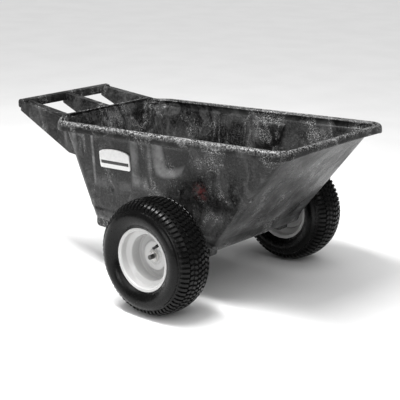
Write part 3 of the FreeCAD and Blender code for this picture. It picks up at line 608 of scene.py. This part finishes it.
def rail():
    """The left rail under the floor, with rounded lower ends and eased edges."""
    rows = []
    ring = ((RAIL_EASE, RAIL_IN), (0, RAIL_IN + RAIL_EASE), (0, RAIL_OUT - RAIL_EASE),
            (RAIL_EASE, RAIL_OUT))
    for inset, y in ring:
        row = [(RAIL_BACK + inset, BASE_Z + RAIL_SUNK)]
        row += quarter((RAIL_BACK + RAIL_BEND, RAIL_LOW + RAIL_BEND), RAIL_BEND - inset, 180, 6)
        row += quarter((RAIL_NOSE - RAIL_BEND, RAIL_LOW + RAIL_BEND), RAIL_BEND - inset, 270, 6)
        row.append((RAIL_NOSE - inset, BASE_Z + RAIL_SUNK))
        rows.append([(x, y, z) for x, z in row])
    return skin(rows, caps=(True, True), flip=True)


def make_tub():
    """The whole moulding: walls and rim with their wear, then handle and rails."""
    tub = TubSkin()
    tub.underside()
    tub.outer_wall()
    tub.rolled_rim()
    tub.inner_wall()
    tub.floor()
    points, faces = skin(tub.rings, caps=(True, True))
    plastic = MATERIALS["moulded_plastic"]
    # the tone values carry the painted highlight on forward-facing slopes
    make_piece("tub_shell", to_frame(points), faces, "cart", "moulded_plastic", plastic, ["tub"], 50,
               wear=np.concatenate(tub.wear), tone=np.concatenate(tub.tone))
    arm = web(arm_edges, arm_section)
    rib = web(lambda x: (-RIB_HALF, RIB_HALF), rib_section)
    parts = {"handle_arms": merge([arm, mirrored(arm)]), "handle_rib": rib, "handle_bar": cross_bar(),
             "floor_rails": merge([rail(), mirrored(rail())])}
    for name, (points, faces) in parts.items():
        wear = np.full(len(points), 0.06)
        make_piece(name, to_frame(points), faces, "cart", "moulded_plastic", plastic, wear=wear)


# ---------------------------------------------------------------- wheels
BLOCK_HIGH, PITCHES, BLOCK_EDGE, BLOCK_SUNK = 5.9, 68, 0.02, -0.6
# painted shade at each point round a block, from one foot over the top to the other
BLOCK_SHADE = (1, 0.35, 0, 0, 0.35, 1)
DISC_THICK, CASING_STEPS, WELD_STEPS = 2.5, 272, 160
# the tops of the blocks across half the tread, as (out, radius)
TREAD_LINE = [(0, 203.2), (16, 202.7), (32, 200.7), (46, 197.4), (56, 193.4), (63, 188.6), (69, 182),
              (74, 174), (79, 164.5)]


def tread_line(step=1.0):
    """The tops of the blocks across half the tread: distance along, out, radius and both normals."""
    corners = np.array(TREAD_LINE, float)
    along = np.concatenate([[0], np.cumsum(np.hypot(*np.diff(corners, axis=0).T))])
    places = np.arange(0, along[-1], step)
    out, radius = (np.interp(places, along, corners[:, i]) for i in (0, 1))
    for _ in range(3):
        for values in (out, radius):
            values[3:-3] = np.convolve(values, np.ones(7) / 7, "valid")
    slope_out, slope_radius = np.gradient(out, step), np.gradient(radius, step)
    length = np.hypot(slope_out, slope_radius)
    return places, out, radius, -slope_radius / length, slope_out / length


TREAD = tread_line()


def revolved(profile, side, steps=144):
    """A ring about the axle from a closed outline of (distance out, radius) pairs."""
    sign = SIDES[side]
    rows = []
    for out, radius in profile:
        angles = np.arange(steps) * 2 * math.pi / steps
        rows.append(np.stack([radius * np.cos(angles), np.full(steps, sign * (WHEEL_Y / MM + out)),
                              WHEEL_Z / MM + radius * np.sin(angles)], 1))
    rows.append(rows[0])
    return skin(rows, flip=sign > 0)


def tread_at(across, lift):
    """Out and radius at a distance along the tread, lifted off the casing."""
    places, out, radius, out_normal, radius_normal = TREAD
    reach = abs(across)
    rise = lift - BLOCK_HIGH
    far = np.interp(reach, places, out) + rise * np.interp(reach, places, out_normal)
    return math.copysign(far, across), (np.interp(reach, places, radius)
                                        + rise * np.interp(reach, places, radius_normal))


def tread_point(across, turn, lift):
    """A point on the tread: along from the middle, round by an angle, lifted off the casing."""
    out, radius = tread_at(across, lift)
    return (out, radius * math.cos(turn), radius * math.sin(turn))


def tread_block(sections, phase):
    """One block from sections (across, start, end, height); start and end are parts of a pitch."""
    pitch = 2 * math.pi / PITCHES
    rows = []
    for across, start, end, height in sections:
        outline = [(start - BLOCK_EDGE, BLOCK_SUNK), (start, height * 0.82), (start + BLOCK_EDGE, height),
                   (end - BLOCK_EDGE, height), (end, height * 0.82), (end + BLOCK_EDGE, BLOCK_SUNK)]
        rows.append([tread_point(across, (phase + place) * pitch, lift) for place, lift in outline])
    return skin(rows, closed=True, caps=(True, True))


def shoulder_lug(sign, long_foot):
    """A lug that wraps over the shoulder, thinning towards its foot."""
    last = 83 if long_foot else 78
    sections = []
    for across in (45, 46.2, 51, 56, 60, 64, 68, 71, 74, 76, 78, 80, 83):
        if across > last:
            break
        narrow = 0.06 * soft(60, last, across) + (0.03 if across == 45 else 0)
        height = BLOCK_HIGH * (1 - 0.55 * soft(70, last, across)) * (0.75 if across == 45 else 1)
        lean = 0.16 * (across - 45) / 40
        sections.append((sign * across, lean + narrow, lean + 0.60 - narrow, height))
    return sections


def middle_block(sign, near, far, start, length, lean):
    """A block of an inner row with clipped corners."""
    clip = 0.14
    sections = []
    for t, cut in ((0, clip), (0.06, clip * 0.75), (0.32, 0), (0.68, 0), (0.94, clip * 0.75), (1, clip)):
        height = BLOCK_HIGH * (0.78 if t in (0, 1) else 1)
        first = start + lean * t + cut
        last = start + lean * t + length - cut
        sections.append((sign * (near + (far - near) * t), first, last, height))
    return sections


def tyre_tread():
    """Every block of the tread, as (out, across x, across z) points about the wheel's centre."""
    centre_block = [(-7, 0.32, 0.5, BLOCK_HIGH * 0.8), (-4, 0.16, 0.66, BLOCK_HIGH),
                    (4, 0.16, 0.66, BLOCK_HIGH), (7, 0.32, 0.5, BLOCK_HIGH * 0.8)]
    parts = []
    for number in range(PITCHES):
        for sign in (1, -1):
            shift = number + (0.0 if sign > 0 else 0.5)
            parts.append(tread_block(shoulder_lug(sign, number % 2 == 0), shift))
            parts.append(tread_block(middle_block(sign, 27.5, 42.5, 0.12, 0.66, -0.20), shift + 0.42))
            parts.append(tread_block(middle_block(sign, 9.5, 25, 0.0, 0.64, 0.26), shift + 0.12))
        parts.append(tread_block(centre_block, number + 0.3))
    return merge(parts)


def casing_outline():
    """The tyre's casing: bead, sidewall, the ring at the lugs' feet, shoulder and crown."""
    half = [(60, 101.9), (62.6, 103), (63.4, 108), (64.6, 112.4), (67.5, 115.2), (72, 118.6),
            (77.5, 125), (82.4, 134), (84.9, 143), (85.6, 151), (84.4, 158.5), (81.6, 165),
            (78.6, 169.5)]
    for across in (86, 83, 81, 80, 76, 71, 66, 60, 54, 48, 40, 30, 20, 10):
        half.append(tread_at(across, BLOCK_HIGH * 0.42 if across > 80 else 0))
    inside = [(-60, 103), (-74, 128), (-77, 152), (-62, 176), (-40, 187), (0, 190), (40, 187),
              (62, 176), (77, 152), (74, 128), (60, 103)]
    crown = [tread_at(0, 0)]
    return half + crown + flipped(half) + inside


def flipped(points):
    """An outline's mirror image across the wheel's middle plane, in reverse order."""
    return [(-out, radius) for out, radius in reversed(points)]


def barrel_outline():
    """The rim's barrel: rolled lips, bead seats, a rounded step and the drop centre."""
    visible = [(0, 81), (27, 81), (29.4, 81.7), (31, 83.4), (37.5, 95.2), (39.4, 97.6), (42, 99),
               (58, 99), (61, 99.3), (63.4, 100.6), (65.0, 102.4), (65.3, 103.6), (64.4, 104.4),
               (64.3, 105.2), (65.4, 106.0), (66, 107.6), (66, 109.8), (65.2, 111.4), (63.8, 112)]
    hidden = [(63.2, 110.4), (63.4, 106.6), (62, 102.2), (58, 101.5), (42, 101.5), (38, 99.6),
              (30, 85.4), (27, 83.5), (0, 83.5)]
    return flipped(visible)[:-1] + visible + hidden + flipped(hidden)[1:]


def disc_outline():
    """The pressed disc: a flange in the well, a hollow ring, a raised land and the hub's seat."""
    front = [(-8, 81), (-8.6, 80.2), (-14.4, 79.2), (-16.6, 77.6), (-17, 75), (-15.8, 71.5),
             (-11.4, 62.5), (-9.4, 58.5), (-7.4, 55.8), (-1.2, 51.6), (0.6, 49.8), (1.2, 47.4),
             (1.2, 33), (0.9, 31.2), (-0.2, 29.8), (-0.6, 27.6), (0.0, 25.6), (1.1, 24.2), (1.2, 19)]
    back = [(out - DISC_THICK, radius) for out, radius in reversed(front[2:])] + [(-11.1, 81)]
    return front + back


def weld_ring(side):
    """The rippled weld where the hub meets the disc."""
    sign = SIDES[side]
    rows = []
    for i in range(WELD_STEPS):
        angle = 2 * math.pi * i / WELD_STEPS
        size = 2.1 + 0.35 * math.sin(angle * 26) + 0.2 * math.sin(angle * 7 + 1)
        row = []
        for j in range(8):
            turn = 2 * math.pi * j / 8
            out, radius = 1.1 + size * math.sin(turn), 20.0 + size * math.cos(turn)
            row.append((radius * math.cos(angle), sign * (WHEEL_Y / MM + out),
                        WHEEL_Z / MM + radius * math.sin(angle)))
        rows.append(row)
    rows.append(rows[0])
    return skin(rows, flip=sign > 0)


def whole_tyre(side, tread):
    """The casing with its blocks, and the painted shade at each point: grooves and block feet are coloured darker.
    """
    sign = SIDES[side]
    points, faces = tread
    blocks = np.stack([points[:, 1], sign * (WHEEL_Y / MM + points[:, 0]), WHEEL_Z / MM + points[:, 2]], 1)
    if sign > 0:
        faces = [tuple(reversed(face)) for face in faces]
    casing = revolved(casing_outline(), side, CASING_STEPS)
    reach = np.hypot(casing[0][:, 0], casing[0][:, 2] - WHEEL_Z / MM)
    block_shade = np.tile(BLOCK_SHADE, len(blocks) // len(BLOCK_SHADE))
    # painted shade: the casing past 181 mm out, the groove floor, is fully shaded, and so are the block feet
    return merge([casing, (blocks, faces)]), np.concatenate([soft(176, 181, reach), block_shade])


def make_wheels():
    """Tyres with their tread, barrels, discs and welds, in place of the plain CAD ones."""
    tread = tyre_tread()
    white, black = MATERIALS["white_steel"], MATERIALS["tyre_rubber"]
    for side in SIDES:
        body = f"{side}_wheel"
        (points, faces), sunk = whole_tyre(side, tread)
        make_piece(f"tyre_with_tread_{side}", to_frame(points), faces, body, "tyre_rubber", black,
                   [f"tyre_{side}"], 32, sunk=sunk)
        steel = {"wheel_barrel": (revolved(barrel_outline(), side), [f"rim_barrel_{side}"], 45),
                 "wheel_disc": (revolved(disc_outline(), side), [f"rim_disc_{side}"], 45),
                 "hub_weld": (weld_ring(side), (), 60)}
        for name, ((points, faces), stands_for, sharp) in steel.items():
            make_piece(f"{name}_{side}", to_frame(points), faces, body, "white_steel", white,
                       stands_for, sharp)


# ---------------------------------------------------------------- badge
BADGE_X, BADGE_Z, BADGE_HALF, BADGE_FOOT, BADGE_HEAD, BADGE_ARCH = -310, 463, 75, -35, 26, 38
BADGE_ROUND, BADGE_SUNK = 7, 3.4
BAND_HALF, BAND_LOW, BAND_HIGH, BAND_ROUND = 69, -19, -7, 1.5


def badge_outline(inset, steps=8):
    """The plate's outline in its own plane: round corners and an arched top edge."""
    corner = BADGE_ROUND - inset * 0.6
    half, foot, head = BADGE_HALF - inset, BADGE_FOOT + inset, BADGE_HEAD - inset
    rise = BADGE_ARCH - BADGE_HEAD
    circle = (BADGE_HALF ** 2 + rise ** 2) / (2 * rise)
    points = quarter((half - corner, foot + corner), corner, -90, steps)
    points += quarter((half - corner, head - corner), corner, 0, steps)
    for i in range(1, 24):
        u = (half - corner) * (1 - i / 12)
        points.append((u, BADGE_ARCH - inset - circle + math.sqrt(circle ** 2 - u ** 2)))
    points += quarter((-half + corner, head - corner), corner, 90, steps)
    points += quarter((-half + corner, foot + corner), corner, 180, steps)
    return points


def band_outline(inset, steps=4):
    """The band's outline in the plate's plane, with rounded corners."""
    side, low, high = BAND_HALF - BAND_ROUND, BAND_LOW + BAND_ROUND, BAND_HIGH - BAND_ROUND
    points = []
    for centre, start in (((side, low), -90), ((side, high), 0), ((-side, high), 90), ((-side, low), 180)):
        points += quarter(centre, BAND_ROUND - inset, start, steps)
    return points


def badge_place(points):
    """From the plate's plane (along, up, out) to its place on the right-hand wall."""
    lean = math.atan(SIDE_SLOPE)
    pitch = math.atan(RIM_RISE)
    turn = Matrix.Rotation(math.pi / 2 + lean, 3, "X") @ Matrix.Rotation(pitch, 3, "Z")
    wall_y = -(BAND_SIDE + SIDE_SLOPE * (BADGE_Z - BAND_Z) - BADGE_SUNK)
    base = Vector((BADGE_X, wall_y, BADGE_Z))
    return [tuple(base + turn @ Vector(point)) for point in points]


def badge_layer(outline, levels):
    """A closed skin through an outline at (inset, out) levels off the wall."""
    rows = [badge_place([(u, v, out) for u, v in outline(inset)]) for inset, out in levels]
    return skin(rows, caps=(True, True))


def make_badge():
    """A blank white plate with a raised edge, and a plain dark band across its lower third."""
    points, faces = badge_layer(badge_outline, [(0, 0), (0, 4.3), (0.7, 5.1), (2.2, 5.3), (3.4, 4.9),
                                                (3.9, 4.3)])
    make_piece("badge_blank", to_frame(points), faces, "cart", "badge_white", MATERIALS["badge_white"],
               ["badge_plate"], 35)
    points, faces = badge_layer(band_outline, [(0, 4.0), (0, 4.55), (0.5, 4.7)])
    make_piece("badge_band", to_frame(points), faces, "cart", "badge_white", BADGE_DARK, (), 35)


# ---------------------------------------------------------------- stage, light and camera
WORLD_LEVEL = 0.24
SUN_POWER, SUN_ANGLE, SUN_FROM = 2.2, 70, (0.25, -0.35, 1.0)
# softboxes: place, target, size and power
SOFTBOXES = {
    "key": ((2.6, -0.6, 1.6), (0.3, 0, 0.4), (1.1, 1.1), 9),
    "side": ((0.6, -3.6, 1.2), (0.1, 0, 0.35), (1.6, 0.9), 22),
    "top": ((-0.2, -0.9, 2.6), (0, -0.2, 0.4), (2.4, 0.4), 120),
}
CAMERA_AT, CAMERA_LOOK = (2.6099, -2.9809, 1.4372), (-0.6229, 0.7300, -0.2813)
CAMERA_ROLL, CAMERA_LENS, CAMERA_SENSOR = 0.5243, 99.152, 36


def make_floor():
    """A pale floor, a hair below the tyres."""
    bpy.ops.mesh.primitive_plane_add(size=60, location=(0, 0, -0.0005))
    floor = bpy.context.object
    floor.name = "floor"
    s = Shader("pale_floor")
    tone = s.ranged(s.noise(3, 4, 0.5), 0.3, 0.7)
    floor.data.materials.append(s.finish(s.mix(tone, grey(0.80), grey(0.83)), 0.7))


def place_lamp(name, data, place, turn):
    """A lamp at a place, turned by its Euler angles."""
    lamp = bpy.data.objects.new(name, data)
    bpy.context.scene.collection.objects.link(lamp)
    lamp.location = place
    lamp.rotation_euler = turn


def soft_sky():
    """A white surround and a wide sun like a large overhead panel."""
    world = bpy.data.worlds.new("studio")
    world.use_nodes = True
    background = world.node_tree.nodes["Background"]
    background.inputs[0].default_value = (1, 1, 1, 1)
    background.inputs[1].default_value = WORLD_LEVEL
    bpy.context.scene.world = world
    bpy.context.scene.view_settings.view_transform = "Standard"
    sun = bpy.data.lights.new("sky_panel", "SUN")
    sun.energy = SUN_POWER
    sun.angle = math.radians(SUN_ANGLE)
    place_lamp("sky_panel", sun, (0, 0, 0), Vector(SUN_FROM).to_track_quat("Z", "Y").to_euler())


def area_light(name, place, target, size, power):
    """A rectangular softbox aimed at a point."""
    data = bpy.data.lights.new(name, "AREA")
    data.shape = "RECTANGLE"
    data.size, data.size_y = size
    data.energy = power
    place_lamp(name, data, place, (Vector(target) - Vector(place)).to_track_quat("-Z", "Y").to_euler())


def make_camera():
    """The viewpoint: ahead of the cart, to its right and a little above it."""
    data = bpy.data.cameras.new("camera")
    data.sensor_width, data.lens = CAMERA_SENSOR, CAMERA_LENS
    camera = bpy.data.objects.new("camera", data)
    bpy.context.scene.collection.objects.link(camera)
    look = Vector(CAMERA_LOOK).normalized()
    level = look.cross(Vector((0, 0, 1))).normalized()
    above = level.cross(look)
    roll = math.radians(CAMERA_ROLL)
    right = math.cos(roll) * level + math.sin(roll) * above
    upward = math.cos(roll) * above - math.sin(roll) * level
    turn = Matrix((right, upward, -look)).transposed()
    camera.matrix_world = Matrix.Translation(CAMERA_AT) @ turn.to_4x4()
    bpy.context.scene.camera = camera


make_tub()
make_wheels()
make_badge()
make_floor()
soft_sky()
for light, placing in SOFTBOXES.items():
    area_light(light, *placing)
make_camera()
